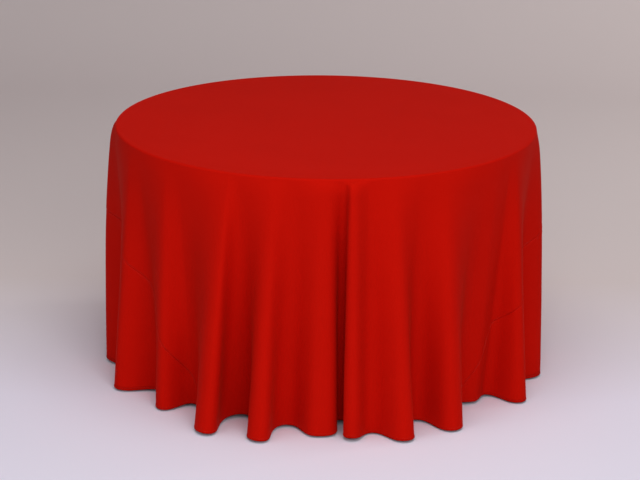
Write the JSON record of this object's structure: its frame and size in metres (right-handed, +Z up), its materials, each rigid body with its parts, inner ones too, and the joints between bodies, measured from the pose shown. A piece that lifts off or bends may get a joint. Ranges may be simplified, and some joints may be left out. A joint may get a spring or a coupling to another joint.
{
  "type": "tablecloth on a table",
  "caption": "Round floor-length red tablecloth hanging in soft folds over a folding banquet table, with seams, a narrow hem and fold-in legs.",
  "frame": {"origin": "on the floor, under the middle of the table", "axes": "+Z up, -Y towards the viewer's side, +X to the viewer's right; the leg sets stand at -X and +X"},
  "size_m": [1.3223, 1.3199, 0.7406],
  "materials": {
    "tablecloth_fabric": "plain-woven polyester, matte with a faint sheen",
    "hem_fabric": "rolled and stitched rim",
    "seam_fabric": "felled seam allowance",
    "plywood": "birch plywood, clear lacquer",
    "runner_wood": "planed hardwood",
    "edge_vinyl": "brown vinyl moulding",
    "leg_steel": "hammered grey powder coat",
    "bracket_zinc": "zinc plated",
    "screw_steel": "zinc plated",
    "foot_rubber": "moulded black rubber"
  },
  "bodies": {
    "table": {"centre_panel": "tablecloth_fabric", "side_panel_left": "tablecloth_fabric", "side_panel_right": "tablecloth_fabric", "hem": "hem_fabric", "seam_left": "seam_fabric", "seam_right": "seam_fabric", "tabletop": "plywood", "edge_band": "edge_vinyl", "runner_front": "runner_wood", "runner_back": "runner_wood", "cross_runner_left": "runner_wood", "cross_runner_right": "runner_wood", "bracket_left_front": "bracket_zinc", "bracket_left_front_screw_1": "screw_steel", "bracket_left_front_screw_2": "screw_steel", "bracket_left_back": "bracket_zinc", "bracket_left_back_screw_1": "screw_steel", "bracket_left_back_screw_2": "screw_steel", "brace_rail_left": "bracket_zinc", "brace_rail_left_screw_1": "screw_steel", "brace_rail_left_screw_2": "screw_steel", "bracket_right_front": "bracket_zinc", "bracket_right_front_screw_1": "screw_steel", "bracket_right_front_screw_2": "screw_steel", "bracket_right_back": "bracket_zinc", "bracket_right_back_screw_1": "screw_steel", "bracket_right_back_screw_2": "screw_steel", "brace_rail_right": "bracket_zinc", "brace_rail_right_screw_1": "screw_steel", "brace_rail_right_screw_2": "screw_steel"},
    "left_legs": {"leg_left_front": "leg_steel", "foot_cap_left_front": "foot_rubber", "leg_left_back": "leg_steel", "foot_cap_left_back": "foot_rubber", "pivot_tube_left": "leg_steel", "crossbar_left": "leg_steel"},
    "left_brace": {"brace_sleeve_left": "leg_steel", "brace_arm_left": "leg_steel", "brace_pin_left": "screw_steel"},
    "right_legs": {"leg_right_front": "leg_steel", "foot_cap_right_front": "foot_rubber", "leg_right_back": "leg_steel", "foot_cap_right_back": "foot_rubber", "pivot_tube_right": "leg_steel", "crossbar_right": "leg_steel"},
    "right_brace": {"brace_sleeve_right": "leg_steel", "brace_arm_right": "leg_steel", "brace_pin_right": "screw_steel"}
  },
  "joints": [
    {"name": "left_leg_fold", "type": "hinge", "parent": "table", "child": "left_legs", "pos_m": [-0.365, 0, 0.6767], "axis": [0, -1, 0], "range_deg": [0, 93]},
    {"name": "left_brace_fold", "type": "hinge", "parent": "left_legs", "child": "left_brace", "pos_m": [-0.37547, 0, 0.47697], "axis": [0, -1, 0], "range_deg": [-133.3, 0]},
    {"name": "right_leg_fold", "type": "hinge", "parent": "table", "child": "right_legs", "pos_m": [0.365, 0, 0.6467], "axis": [0, 1, 0], "range_deg": [0, 93]},
    {"name": "right_brace_fold", "type": "hinge", "parent": "right_legs", "child": "right_brace", "pos_m": [0.37547, 0, 0.44697], "axis": [0, 1, 0], "range_deg": [-129.2, 0]}
  ],
  "couplings": [
    {"joint": "left_brace_fold", "follows": "left_leg_fold", "ratio": -1.4281},
    {"joint": "right_brace_fold", "follows": "right_leg_fold", "ratio": -1.3837}
  ]
}
